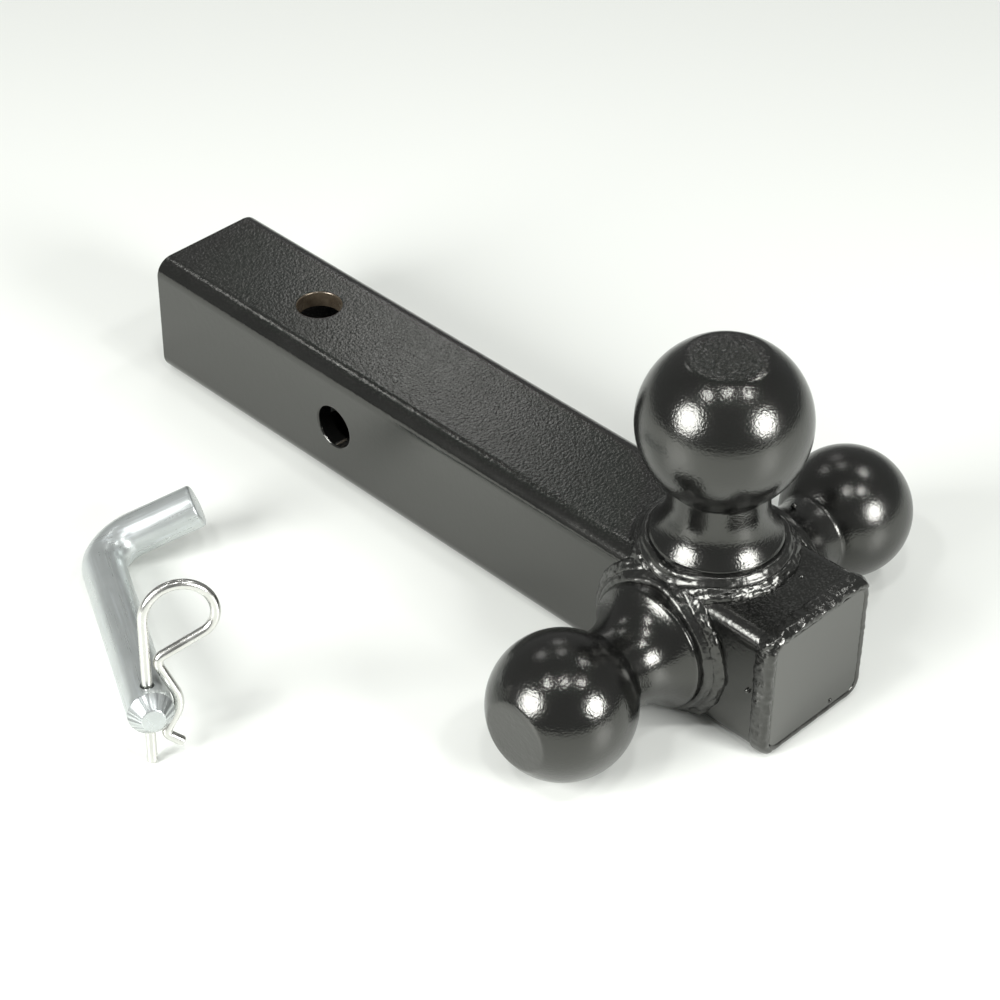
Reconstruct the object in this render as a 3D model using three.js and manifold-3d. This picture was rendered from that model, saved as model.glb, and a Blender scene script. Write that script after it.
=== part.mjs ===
// Triple-ball trailer hitch mount, with its bent hitch pin and spring clip lying beside it.
//
// Units are millimetres and +Z is up. +X runs along the shank from its open rear end to the
// capped ball end, and +Y points to the small ball. The origin is on the underside of the
// shank, straight below the point where the axes of the three balls cross.

import * as THREE from 'three';
import Module from 'manifold-3d';
import { mergeVertices } from 'three/addons/utils/BufferGeometryUtils.js';

const wasm = await Module();
wasm.setup();

// ---------------------------------------------------------------- driving dimensions

const GAP = 0.3; // air between pieces that are welded together or rest on each other

// Shank: 2 in square tube.
const SHANK = 50.8;
const HALF = SHANK / 2;
const WALL = 6.35;
const OUTER_CORNER = 7.0;
const INNER_CORNER = 3.0;
const SHANK_LENGTH = 304.8;
const SHANK_FRONT = 42.2; // from the ball station to the front end of the tube
const SHANK_REAR = SHANK_FRONT - SHANK_LENGTH;

// Cross holes for the hitch pin, one through the top and bottom and one through the sides.
const BORE = 16.7;
const BORE_MOUTH = 18.2; // diameter of the chamfer at each outer face
const UPRIGHT_BORE_X = -197.7;
const LEVEL_BORE_X = -163.1;

// Plate that closes the front end, and the bead round it.
const CAP_HALF = 22.8;
const CAP_CORNER = OUTER_CORNER - (HALF - CAP_HALF);
const CAP_BACK = SHANK_FRONT + GAP;
const CAP_THICKNESS = 4.5;
const BEAD_TOE = 2.4; // reach of the bead back over the tube
const BEAD_RISE = 1.4; // height of the bead above the tube's faces
const BEAD_SETBACK = 0.4; // from the cap's face back to the edge of the bead
const BEAD_CORNER_GAP = 2; // degrees of each corner left open between two runs

// Balls: 2 5/16 in, 2 in and 1 7/8 in, all on the same forged foot.
const BALLS = {
  large: { ball: 58.74, neck: 34.6, flat: 28.0 },
  medium: { ball: 50.8, neck: 30.6, flat: 25.0 },
  small: { ball: 47.63, neck: 28.8, flat: 23.6 },
};
const BALL_RISE = 22.3; // from the tube's face to the lowest point of the full sphere
const THROAT_RADIUS = 6.0; // fillet between neck and ball
const FOOT_RADIUS = 22.0;
const LIP_RADIUS = 23.0; // widest part, at the bottom of the flare
const LIP_HEIGHT = 7.8;
const LIP_ROUND = 0.9;
const FLARE_RADIUS = 19.6; // hollow curve of the skirt, from the lip up to the straight neck

// Welds round each ball's foot: a narrow inner pass and a wide outer pass.
const WELD_SKIRT = -6.5; // lowest reach over the tube's rounded corners
const INNER_PASS = { from: FOOT_RADIUS + GAP, to: 25.3, height: 5.7 };
const OUTER_PASS = { from: 25.6, to: 28.2, height: 3.9 };

// Hitch pin: 5/8 in round bar, bent once.
const PIN_RADIUS = 15.875 / 2;
const LONG_ARM = 108.7; // from the sharp corner of the bend to the edge of the cone
const SHORT_ARM = 39.4;
const ARM_ANGLE = 84.5; // between the two arms, in degrees
const BEND_RADIUS = 14.0;
const BEND_TWIST = 22.5; // from the clip's sideways direction up to the short arm
const CONE_LENGTH = 5.0;
const CONE_FLAT = 7.8;
const CLIP_HOLE = 4.8;
const CLIP_HOLE_X = LONG_ARM - 5.0;

// Spring clip: one bent wire, in a plane square to the pin. Heights and sideways distances are
// from the pin's centre line.
const WIRE_RADIUS = 3.5 / 2;
const CLIP_FOOT = -22.2;
const LOOP_RADIUS = 12.0;
const LOOP_HEIGHT = 32.0;
const LOOP_SEAM = 1.0; // degrees left open on each side of the top, where the wire is divided
const LOOP_TIGHT = { radius: 8.5, from: 7.7, to: -64 };
const WAIST = { y: 7.1, z: 15.6, radius: 3.0 };
const HUG_RADIUS = PIN_RADIUS + WIRE_RADIUS + 0.35;
const HEEL = { y: 7.7, z: -11.3, radius: 2.2 };
const TOE_LENGTH = 5.5;
const TOE_ANGLE = -36.9;

// Where the pin lies: the outside of its bend touches the ground and the clip props its tip.
const PIN_CORNER = [-187.0, -118.2, 6.2];
const PIN_YAW = -28.6;
const PIN_PITCH = 8.9;
const PIN_ROLL = -2.1;

// Facets.
const BALL_SIDES = 36;
const WELD_SIDES = 32;
const BORE_SIDES = 32;
const PIN_SIDES = 20;
const WIRE_SIDES = 8;

// ---------------------------------------------------------------- materials

const PAINT = { color: 0x161616, roughness: 0.25, metalness: 0.0 };
const WELD_PAINT = { color: 0x1c1c1c, roughness: 0.35, metalness: 0.0 };
const ZINC = { color: 0xb9c0c2, roughness: 0.3, metalness: 1.0 };
const SPRING_WIRE = { color: 0xd3d2cc, roughness: 0.2, metalness: 1.0 };

// ---------------------------------------------------------------- helpers

const radians = THREE.MathUtils.degToRad;
const degrees = THREE.MathUtils.radToDeg;

function toSolid(geometry) {
  const bare = geometry.clone();
  bare.deleteAttribute('normal');
  bare.deleteAttribute('uv');
  const merged = mergeVertices(bare, 1e-4);
  return new wasm.Manifold(new wasm.Mesh({
    numProp: 3,
    vertProperties: new Float32Array(merged.attributes.position.array),
    triVerts: new Uint32Array(merged.index.array),
  }));
}

function toGeometry(solid) {
  const mesh = solid.getMesh();
  const geometry = new THREE.BufferGeometry();
  geometry.setAttribute('position', new THREE.BufferAttribute(mesh.vertProperties, 3));
  geometry.setIndex(new THREE.BufferAttribute(mesh.triVerts, 1));
  geometry.computeVertexNormals();
  return geometry;
}

function part(name, geometry, finish) {
  const mesh = new THREE.Mesh(geometry, new THREE.MeshStandardMaterial(finish));
  mesh.name = name;
  return mesh;
}

// Points of an arc, for a profile. Angles are in degrees.
function arc(x, y, radius, from, to, pieces) {
  const clockwise = to < from;
  const curve = new THREE.EllipseCurve(x, y, radius, radius, radians(from), radians(to), clockwise);
  return curve.getPoints(pieces);
}

function spot(x, y) {
  return new THREE.Vector2(x, y);
}

function roundedSquare(half, corner) {
  const reach = half - corner;
  const shape = new THREE.Shape();
  shape.absarc(reach, reach, corner, 0, radians(90), false);
  shape.absarc(-reach, reach, corner, radians(90), radians(180), false);
  shape.absarc(-reach, -reach, corner, radians(180), radians(270), false);
  shape.absarc(reach, -reach, corner, radians(270), radians(360), false);
  return shape;
}

// A bar along +X on the shank's axis, with a rounded square section.
function squareBar(half, corner, from, to) {
  const bar = new THREE.ExtrudeGeometry(roundedSquare(half, corner), {
    depth: to - from,
    bevelEnabled: false,
    curveSegments: 7,
  });
  bar.rotateY(radians(90));
  bar.translate(from, 0, HALF);
  return bar;
}

// A profile of (radius, height) points, turned about +Z.
function turned(profile, sides) {
  const geometry = new THREE.LatheGeometry(profile, sides);
  geometry.rotateX(radians(90));
  return geometry;
}

// A flat path of lines and arcs, stood up in the plane X = 0.
class UprightCurve extends THREE.Curve {
  constructor(path) {
    super();
    this.path = path;
  }

  getPoint(t, target = new THREE.Vector3()) {
    const point = this.path.getPoint(t);
    return target.set(0, point.x, point.y);
  }
}

function swept(shape, path, steps, sides) {
  return new THREE.ExtrudeGeometry(shape, {
    steps,
    curveSegments: sides,
    bevelEnabled: false,
    extrudePath: new UprightCurve(path),
  });
}

function sweptRound(path, radius, steps, sides) {
  const circle = new THREE.Shape();
  circle.absarc(0, 0, radius, 0, radians(360), false);
  return swept(circle, path, steps, sides);
}

// ---------------------------------------------------------------- shank and cap

// A cutter along +Z through both walls, wider at the two outer faces.
function boreCutter() {
  const bore = BORE / 2;
  const mouth = BORE_MOUTH / 2;
  const chamfer = mouth - bore;
  const beyond = HALF + 5;
  return turned([
    spot(0, -beyond),
    spot(mouth, -beyond),
    spot(mouth, -HALF),
    spot(bore, -HALF + chamfer),
    spot(bore, HALF - chamfer),
    spot(mouth, HALF),
    spot(mouth, beyond),
    spot(0, beyond),
  ], BORE_SIDES);
}

function shankTube() {
  const upright = boreCutter();
  upright.translate(UPRIGHT_BORE_X, 0, HALF);
  const level = boreCutter();
  level.rotateX(radians(90));
  level.translate(LEVEL_BORE_X, 0, HALF);
  const outside = toSolid(squareBar(HALF, OUTER_CORNER, SHANK_REAR, SHANK_FRONT));
  const inside = toSolid(squareBar(HALF - WALL, INNER_CORNER, SHANK_REAR - 1, SHANK_FRONT + 1));
  return toGeometry(outside.subtract(inside).subtract(toSolid(upright)).subtract(toSolid(level)));
}

function capPlate() {
  return squareBar(CAP_HALF, CAP_CORNER, CAP_BACK, CAP_BACK + CAP_THICKNESS);
}

// Section of the bead, seen along the edge: x runs back from the tube's front end, and y runs
// out from the tube's face. The bead fills the step down to the cap's edge.
function beadSection() {
  const step = CAP_HALF + GAP - HALF;
  const front = -(GAP + CAP_THICKNESS - BEAD_SETBACK);
  const section = new THREE.Shape();
  section.moveTo(-GAP, step);
  section.lineTo(front, step);
  section.bezierCurveTo(front, BEAD_RISE, front / 2, BEAD_RISE, 0, BEAD_RISE);
  section.quadraticCurveTo(BEAD_TOE, BEAD_RISE, BEAD_TOE, GAP);
  section.lineTo(-GAP, GAP);
  section.closePath();
  return section;
}

// The run over the top edge, from the middle of one corner to the middle of the next. The
// other three are the same run turned about the shank, and the one underneath is ground flush
// so that the shank lies flat.
function capWeldRun(turn) {
  const reach = HALF - OUTER_CORNER;
  const path = new THREE.Path();
  path.absarc(-reach, reach, OUTER_CORNER, radians(135 - BEAD_CORNER_GAP), radians(90), true);
  path.absarc(reach, reach, OUTER_CORNER, radians(90), radians(45 + BEAD_CORNER_GAP), true);
  const run = swept(beadSection(), path, 18, 4);
  run.rotateX(radians(turn));
  run.translate(SHANK_FRONT, 0, HALF);
  if (turn !== 180) {
    return run;
  }
  const underneath = new THREE.BoxGeometry(SHANK, 2 * SHANK, SHANK);
  underneath.translate(SHANK_FRONT, 0, -HALF);
  return toGeometry(toSolid(run).subtract(toSolid(underneath)));
}

// ---------------------------------------------------------------- balls and their welds

// Foot, flared skirt, narrow throat, and a ball cut flat on top, standing on the plane z = 0.
function ballProfile({ ball, neck, flat }) {
  const radius = ball / 2;
  const throat = neck / 2;
  const centre = BALL_RISE + radius;
  const fillet = throat + THROAT_RADIUS;
  const waist = centre - Math.sqrt((radius + THROAT_RADIUS) ** 2 - fillet ** 2);
  const touch = degrees(Math.atan2(waist - centre, fillet));
  const flatEdge = degrees(Math.acos(flat / ball));
  const flareCentre = throat + FLARE_RADIUS;
  const flareRise = Math.sqrt(FLARE_RADIUS ** 2 - (flareCentre - LIP_RADIUS + LIP_ROUND / 2) ** 2);
  const flareFrom = 180 + degrees(Math.asin(flareRise / FLARE_RADIUS));
  const lipCentre = LIP_RADIUS - LIP_ROUND;
  return [
    spot(0, GAP),
    spot(FOOT_RADIUS, GAP),
    spot(FOOT_RADIUS, LIP_HEIGHT - 2 * LIP_ROUND),
    ...arc(lipCentre, LIP_HEIGHT - LIP_ROUND, LIP_ROUND, -90, 50, 4),
    ...arc(flareCentre, LIP_HEIGHT + flareRise, FLARE_RADIUS, flareFrom, 180, 6),
    ...arc(fillet, waist, THROAT_RADIUS, 180, 180 + touch, 3),
    ...arc(0, centre, radius, touch, flatEdge, 13).slice(1),
    spot(0, centre + radius * Math.sin(radians(flatEdge))),
  ];
}

// Room for the welds of one ball: the quarter of the shank's surroundings that faces it,
// outside the tube and above the ground.
function weldRoom() {
  const wide = 2 * SHANK;
  const wedge = new THREE.Shape();
  wedge.moveTo(0, GAP / 2 - HALF);
  wedge.lineTo(wide, wide + GAP / 2 - HALF);
  wedge.lineTo(-wide, wide + GAP / 2 - HALF);
  wedge.closePath();
  const room = new THREE.ExtrudeGeometry(wedge, { depth: SHANK_LENGTH, bevelEnabled: false });
  room.rotateX(radians(90));
  room.rotateZ(radians(90));
  room.translate(-SHANK_LENGTH / 2, 0, 0);
  const tube = squareBar(HALF + GAP, OUTER_CORNER + GAP, -SHANK_LENGTH, SHANK_LENGTH);
  tube.translate(0, 0, -SHANK);
  return toSolid(room).subtract(toSolid(tube));
}

// A weld pass as a ring with a rounded crown. Where a side weld would reach below the shank it
// is cut level with the underside.
function weldPass({ from, to, height }, onSide) {
  const middle = (from + to) / 2;
  const crown = (to - from) / 2;
  const ring = turned([
    spot(from, WELD_SKIRT),
    spot(to, WELD_SKIRT),
    ...arc(middle, height - crown, crown, 0, 180, 4),
    spot(from, WELD_SKIRT),
  ], WELD_SIDES);
  const pass = toSolid(ring).intersect(weldRoom());
  if (!onSide) {
    return toGeometry(pass);
  }
  const level = new THREE.BoxGeometry(3 * SHANK, SHANK, SHANK);
  level.translate(0, -(HALF - GAP / 2) - SHANK / 2, 0);
  return toGeometry(pass.subtract(toSolid(level)));
}

// One ball with its two weld passes, on the shank's face that turn points to.
function ballStation(name, turn) {
  const station = new THREE.Group();
  const onSide = turn !== 0;
  const towardsGround = Math.sign(turn);
  const inner = weldPass(INNER_PASS, onSide);
  const outer = weldPass(OUTER_PASS, onSide);
  if (towardsGround < 0) {
    inner.rotateZ(radians(180));
    outer.rotateZ(radians(180));
  }
  station.add(part(`${name}_ball`, turned(ballProfile(BALLS[name]), BALL_SIDES), PAINT));
  station.add(part(`${name}_ball_inner_weld`, inner, WELD_PAINT));
  station.add(part(`${name}_ball_outer_weld`, outer, WELD_PAINT));
  station.children.forEach((piece) => piece.position.set(0, 0, HALF));
  const holder = new THREE.Group();
  holder.add(station);
  holder.rotation.x = radians(turn);
  holder.position.set(0, 0, HALF);
  return holder;
}

// ---------------------------------------------------------------- hitch pin

// The bar is drawn in a plane with its long arm along the first axis, then laid along +X and
// turned about it. Its sharp corner is at the origin.
function bentBar() {
  const setback = BEND_RADIUS / Math.tan(radians(ARM_ANGLE / 2));
  const path = new THREE.Path();
  path.moveTo(SHORT_ARM * Math.cos(radians(ARM_ANGLE)), SHORT_ARM * Math.sin(radians(ARM_ANGLE)));
  path.absarc(setback, BEND_RADIUS, BEND_RADIUS, radians(90 + ARM_ANGLE), radians(270), false);
  path.lineTo(LONG_ARM, 0);
  const bar = sweptRound(path, PIN_RADIUS, 32, PIN_SIDES);
  bar.rotateZ(radians(-90));
  bar.rotateX(radians(BEND_TWIST - 90));
  return bar;
}

function pinCone() {
  const overlap = 1;
  const shoulder = PIN_RADIUS - 0.08;
  const cone = turned([
    spot(0, -overlap),
    spot(shoulder, -overlap),
    spot(shoulder, 0),
    spot(CONE_FLAT / 2, CONE_LENGTH),
    spot(0, CONE_LENGTH),
  ], BORE_SIDES);
  cone.rotateY(radians(90));
  cone.translate(LONG_ARM, 0, 0);
  return cone;
}

function hitchPin() {
  const hole = new THREE.CylinderGeometry(CLIP_HOLE / 2, CLIP_HOLE / 2, 4 * PIN_RADIUS, PIN_SIDES);
  hole.rotateX(radians(90));
  hole.translate(CLIP_HOLE_X, 0, 0);
  return toGeometry(toSolid(bentBar()).add(toSolid(pinCone())).subtract(toSolid(hole)));
}

// ---------------------------------------------------------------- spring clip

// The straight leg, which goes through the pin, with the first quarter of the loop.
function clipStraightLeg() {
  const path = new THREE.Path();
  path.moveTo(0, CLIP_FOOT);
  path.lineTo(0, LOOP_HEIGHT);
  path.absarc(LOOP_RADIUS, LOOP_HEIGHT, LOOP_RADIUS, radians(180), radians(90 + LOOP_SEAM), true);
  return sweptRound(path, WIRE_RADIUS, 24, WIRE_SIDES);
}

// Angle at which a straight run leaves the hug round the pin for the bend at place.
function hugAngle(place, side) {
  const towards = Math.atan2(place.z, place.y);
  const reach = Math.hypot(place.y, place.z);
  return degrees(towards + side * Math.acos((HUG_RADIUS + place.radius) / reach));
}

// The rest of the loop, the diagonal to the waist, the hug round the pin, the heel and the toe.
function clipSpringLeg() {
  const tight = LOOP_TIGHT;
  const inset = LOOP_RADIUS - tight.radius;
  const turn = radians(tight.from);
  const tightY = LOOP_RADIUS + inset * Math.cos(turn);
  const tightZ = LOOP_HEIGHT + inset * Math.sin(turn);
  const hugFrom = hugAngle(WAIST, -1);
  const hugTo = hugAngle(HEEL, 1);
  const heelTo = TOE_ANGLE - 90;
  const toe = radians(TOE_ANGLE);
  const toeY = HEEL.y + HEEL.radius * Math.cos(radians(heelTo));
  const toeZ = HEEL.z + HEEL.radius * Math.sin(radians(heelTo));
  const path = new THREE.Path();
  path.absarc(LOOP_RADIUS, LOOP_HEIGHT, LOOP_RADIUS, radians(90 - LOOP_SEAM), turn, true);
  path.absarc(tightY, tightZ, tight.radius, turn, radians(tight.to), true);
  path.absarc(WAIST.y, WAIST.z, WAIST.radius, radians(tight.to + 180), radians(hugFrom + 180), false);
  path.absarc(0, 0, HUG_RADIUS, radians(hugFrom), radians(hugTo), true);
  path.absarc(HEEL.y, HEEL.z, HEEL.radius, radians(hugTo + 180), radians(heelTo + 360), false);
  path.lineTo(toeY + TOE_LENGTH * Math.cos(toe), toeZ + TOE_LENGTH * Math.sin(toe));
  return sweptRound(path, WIRE_RADIUS, 64, WIRE_SIDES);
}

// ---------------------------------------------------------------- assembly

const hitch = new THREE.Group();
hitch.add(part('shank_tube', shankTube(), PAINT));
hitch.add(part('cap_plate', capPlate(), PAINT));
const runs = { top: 0, left: 90, bottom: 180, right: 270 };
Object.entries(runs).forEach(([side, turn]) => {
  hitch.add(part(`cap_weld_${side}`, capWeldRun(turn), WELD_PAINT));
});
hitch.add(ballStation('large', 0));
hitch.add(ballStation('medium', 90));
hitch.add(ballStation('small', -90));

const clip = new THREE.Group();
clip.position.set(CLIP_HOLE_X, 0, 0);
clip.add(part('clip_straight_leg', clipStraightLeg(), SPRING_WIRE));
clip.add(part('clip_spring_leg', clipSpringLeg(), SPRING_WIRE));

const pin = new THREE.Group();
pin.position.set(...PIN_CORNER);
pin.rotation.set(radians(PIN_ROLL), radians(-PIN_PITCH), radians(PIN_YAW), 'ZYX');
pin.add(part('hitch_pin', hitchPin(), ZINC));
pin.add(clip);
hitch.add(pin);

export default hitch;
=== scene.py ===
"""Looks for the triple-ball trailer hitch with its bent pin and spring clip.

Lengths in this script are millimetres until a mesh is made, and the frame is the CAD's: +X along
the shank to the capped end, +Y to the small ball, +Z up, origin on the shank's underside straight
below the balls' axes.
"""

import math

import bmesh
import bpy
import numpy as np
from mathutils import Matrix, Vector, noise

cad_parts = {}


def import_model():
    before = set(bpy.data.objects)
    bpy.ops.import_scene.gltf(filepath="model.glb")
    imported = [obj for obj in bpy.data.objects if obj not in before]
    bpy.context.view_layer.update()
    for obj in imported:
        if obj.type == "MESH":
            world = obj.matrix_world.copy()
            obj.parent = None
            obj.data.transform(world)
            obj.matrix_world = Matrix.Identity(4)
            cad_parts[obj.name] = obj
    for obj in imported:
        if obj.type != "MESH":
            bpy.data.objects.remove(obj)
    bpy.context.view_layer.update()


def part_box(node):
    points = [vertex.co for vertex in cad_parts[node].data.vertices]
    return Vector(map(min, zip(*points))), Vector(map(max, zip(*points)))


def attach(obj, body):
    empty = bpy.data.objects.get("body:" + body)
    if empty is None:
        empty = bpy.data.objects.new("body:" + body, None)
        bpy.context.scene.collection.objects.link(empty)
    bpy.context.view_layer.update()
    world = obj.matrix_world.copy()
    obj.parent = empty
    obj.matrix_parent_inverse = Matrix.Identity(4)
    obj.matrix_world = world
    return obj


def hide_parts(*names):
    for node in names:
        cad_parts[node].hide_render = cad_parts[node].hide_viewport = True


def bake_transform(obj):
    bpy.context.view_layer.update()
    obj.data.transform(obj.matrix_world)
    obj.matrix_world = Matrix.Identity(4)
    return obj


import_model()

MM = 0.001
TAU = 2 * math.pi


def node_box(node):
    """Lowest and highest corner of a CAD node, in millimetres."""
    low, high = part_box(node)
    return np.array(low) / MM, np.array(high) / MM


# ------------------------------------------------------------------ sizes, in millimetres

TUBE_LOW, TUBE_HIGH = node_box("shank_tube")
CAP_LOW, CAP_HIGH = node_box("cap_plate")
HALF = (TUBE_HIGH[2] - TUBE_LOW[2]) / 2
WALL = 6.35
OUTER_CORNER = 7.0
INNER_CORNER = 3.0
CORNER_STEPS = 12
BORE_RADIUS = 8.35
BORE_ROUND = 0.85
REAR_ROUND = 0.6
CAP_CORNER = 4.4
CAP_ROUND = 0.8
UPRIGHT_BORE_X = -197.7
LEVEL_BORE_X = -163.1

BALL_RISE = 22.3
LIP_RADIUS = 23.0
LIP_HEIGHT = 7.8
THROAT_ROUND = 2.8
FLARE_RADIUS = 19.6
BALLS = {
    "large": {"ball": 58.74, "neck": 34.6, "flat": 28.0, "turn": 0},
    "medium": {"ball": 50.8, "neck": 30.6, "flat": 25.0, "turn": 90},
    "small": {"ball": 47.63, "neck": 28.8, "flat": 23.6, "turn": -90},
}

PIN_RADIUS = 15.875 / 2
LONG_ARM = 108.7
SHORT_ARM = 39.4
ARM_ANGLE = 84.5
BEND_RADIUS = 14.0
BEND_TWIST = 22.5
CONE_LENGTH = 5.0
CONE_FLAT = 7.8
CLIP_HOLE = 4.8
CLIP_HOLE_X = LONG_ARM - 5.0
PIN_CORNER = (-187.0, -118.2, 6.2)
PIN_YAW, PIN_PITCH, PIN_ROLL = -28.6, 8.9, -2.1

WIRE_RADIUS = 1.75
CLIP_FOOT = -22.2
LOOP_RADIUS = 12.0
LOOP_HEIGHT = 32.0
WIRE_ROUND = 0.7

PAINT_IOR = 1.72
FLOOR_HALF = 4000.0


# ------------------------------------------------------------------ mesh helpers

def mesh_object(name, points, faces):
    """An object in the scene, from points in millimetres."""
    mesh = bpy.data.meshes.new(name)
    mesh.from_pydata([tuple(p) for p in np.asarray(points, float) * MM], [], faces)
    mesh.validate()
    mesh.update()
    obj = bpy.data.objects.new(name, mesh)
    bpy.context.scene.collection.objects.link(obj)
    return obj


def skin(loops, close_path=False):
    """Quads between closed loops of points, all with the same number of points, and two end faces.

    With close_path, the last loop joins the first, and there are no end faces.
    """
    loops = [np.asarray(loop, float) for loop in loops]
    count = len(loops[0])
    points = np.vstack(loops)
    faces = []
    last = len(loops) if close_path else len(loops) - 1
    for i in range(last):
        a, b = i * count, ((i + 1) % len(loops)) * count
        for j in range(count):
            k = (j + 1) % count
            faces.append((a + j, a + k, b + k, b + j))
    if not close_path:
        faces.append(tuple(reversed(range(count))))
        end = (len(loops) - 1) * count
        faces.append(tuple(range(end, end + count)))
    return points, faces


def fix_normals(obj):
    bm = bmesh.new()
    bm.from_mesh(obj.data)
    bmesh.ops.recalc_face_normals(bm, faces=bm.faces)
    bm.to_mesh(obj.data)
    bm.free()


def smooth(obj, angle):
    """Smooth shading, with edges sharper than that angle in degrees left sharp."""
    obj.data.polygons.foreach_set("use_smooth", [True] * len(obj.data.polygons))
    obj.data.set_sharp_from_angle(angle=math.radians(angle))
    obj.data.update()


def bake_modifiers(obj):
    """Replaces the object's mesh by the result of its modifiers."""
    graph = bpy.context.evaluated_depsgraph_get()
    made = bpy.data.meshes.new_from_object(obj.evaluated_get(graph))
    obj.modifiers.clear()
    obj.data = made


def cut(obj, cutter):
    modifier = obj.modifiers.new("cut", "BOOLEAN")
    modifier.operation = "DIFFERENCE"
    modifier.solver = "EXACT"
    modifier.object = cutter
    bake_modifiers(obj)
    bpy.data.objects.remove(cutter)


def weight_normals(obj):
    modifier = obj.modifiers.new("even normals", "WEIGHTED_NORMAL")
    modifier.keep_sharp = True
    modifier.weight = 100


def arc(cx, cy, radius, start, stop, steps):
    t = np.radians(np.linspace(start, stop, steps + 1))
    return np.c_[cx + radius * np.cos(t), cy + radius * np.sin(t)]


def edge_round(rounding, turns):
    """(setback, inset) pairs round an edge, by turns in degrees from its side to its face."""
    angles = [math.radians(turn) for turn in turns]
    return [(rounding * (1 - math.sin(t)), rounding * (1 - math.cos(t))) for t in angles]


def rounded_square(half, corner):
    reach = half - corner
    parts = []
    for quarter, (sx, sy) in enumerate(((1, 1), (-1, 1), (-1, -1), (1, -1))):
        start = quarter * 90
        parts.append(arc(sx * reach, sy * reach, corner, start, start + 90, CORNER_STEPS))
    return np.vstack(parts)


def square_loop(x, half, corner):
    """A rounded square round the tube's axis, at that place along it."""
    square = rounded_square(half, corner)
    return np.c_[np.full(len(square), x), square[:, 0], square[:, 1] + HALF]


def turned_points(profile, sides):
    """Loops of a surface of revolution about +Z from (radius, height) pairs off the axis."""
    angle = np.arange(sides) * TAU / sides
    ring = np.c_[np.cos(angle), np.sin(angle)]
    return [np.c_[ring * r, np.full(sides, h)] for r, h in profile]


def turned(name, profile, sides):
    points, faces = skin(turned_points(profile, sides))
    return mesh_object(name, points, faces)


def tangents(path):
    """Unit directions along a path, one at each point."""
    along = np.gradient(path, axis=0)
    return along / np.linalg.norm(along, axis=1)[:, None]


def swept(path, radius, sides, upright=(1.0, 0.0, 0.0)):
    """Loops of a round bar along a flat path. upright is square to the path's plane."""
    path = np.asarray(path, float)
    upright = np.asarray(upright, float)
    sideways = np.cross(tangents(path), upright)
    angle = np.arange(sides) * TAU / sides
    radii = np.broadcast_to(radius, len(path))
    return [
        p + r * (np.cos(angle)[:, None] * upright + np.sin(angle)[:, None] * s)
        for p, s, r in zip(path, sideways, radii)
    ]


def joined(*pieces):
    """One path from several, without the doubled points where they meet."""
    out = [pieces[0]]
    for piece in pieces[1:]:
        gap = np.linalg.norm(piece[0] - out[-1][-1])
        out.append(piece[1:] if gap < 1e-3 else piece)
    return np.vstack(out)


def run(start, stop, step):
    """A straight run of points about step apart."""
    start, stop = np.asarray(start, float), np.asarray(stop, float)
    count = max(1, round(float(np.linalg.norm(stop - start)) / step))
    return start + (stop - start) * np.linspace(0, 1, count + 1)[:, None]


def about_x(turn):
    """The matrix of a turn about +X, in degrees."""
    t = math.radians(turn)
    return np.array([[1, 0, 0], [0, math.cos(t), -math.sin(t)], [0, math.sin(t), math.cos(t)]])


# ------------------------------------------------------------------ materials

def new_material(name):
    material = bpy.data.materials.new(name)
    material.use_nodes = True
    tree = material.node_tree
    tree.nodes.clear()
    output = tree.nodes.new("ShaderNodeOutputMaterial")
    shader = tree.nodes.new("ShaderNodeBsdfPrincipled")
    tree.links.new(shader.outputs[0], output.inputs["Surface"])
    return material, tree, shader


def add(tree, kind, inputs=None, **settings):
    """A node with its settings, and its inputs set to a value or linked from a socket."""
    node = tree.nodes.new(kind)
    for key, value in settings.items():
        setattr(node, key, value)
    for key, value in (inputs or {}).items():
        if isinstance(value, bpy.types.NodeSocket):
            tree.links.new(value, node.inputs[key])
        else:
            node.inputs[key].default_value = value
    return node


def object_place(tree):
    return add(tree, "ShaderNodeTexCoord").outputs["Object"]


def place(tree, scale=(1, 1, 1)):
    return add(tree, "ShaderNodeMapping", {"Vector": object_place(tree), "Scale": scale}).outputs[0]


def noise_of(tree, vector, scale, detail, roughness=0.5):
    inputs = {"Vector": vector, "Scale": scale, "Detail": detail, "Roughness": roughness}
    return add(tree, "ShaderNodeTexNoise", inputs).outputs["Fac"]


def ramp(tree, value, low, high, out_low=0.0, out_high=1.0):
    """value from low to high, clamped and mapped to the range from out_low to out_high."""
    node = add(
        tree, "ShaderNodeMapRange",
        {"Value": value, "From Min": low, "From Max": high, "To Min": out_low, "To Max": out_high},
    )
    return node.outputs[0]


def bump(tree, height, distance, normal=None):
    inputs = {"Height": height, "Distance": distance, "Strength": 1.0}
    if normal is not None:
        inputs["Normal"] = normal
    return add(tree, "ShaderNodeBump", inputs).outputs[0]


def mixed(tree, factor, a, b):
    """Mix of two colours, each a colour or a socket."""
    node = add(tree, "ShaderNodeMix", data_type="RGBA")
    tree.links.new(factor, node.inputs["Factor"])
    for key, value in (("A", a), ("B", b)):
        if isinstance(value, bpy.types.NodeSocket):
            tree.links.new(value, node.inputs[key])
        else:
            node.inputs[key].default_value = (*value, 1)
    return node.outputs["Result"]


def blend_values(tree, factor, a, b):
    return add(tree, "ShaderNodeMix", {"Factor": factor, "A": a, "B": b}, data_type="FLOAT").outputs[0]


def maths(tree, operation, a, b):
    return add(tree, "ShaderNodeMath", {0: a, 1: b}, operation=operation).outputs[0]


def vector_maths(tree, operation, *values):
    """The result of a vector operation, which is a number for a distance."""
    node = add(tree, "ShaderNodeVectorMath", dict(enumerate(values)), operation=operation)
    return node.outputs["Value" if operation == "DISTANCE" else "Vector"]


def coordinate(tree, where, axis):
    return add(tree, "ShaderNodeSeparateXYZ", {"Vector": where}).outputs[axis]


def warm_grey(level):
    return level, level, level * 0.96


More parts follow.
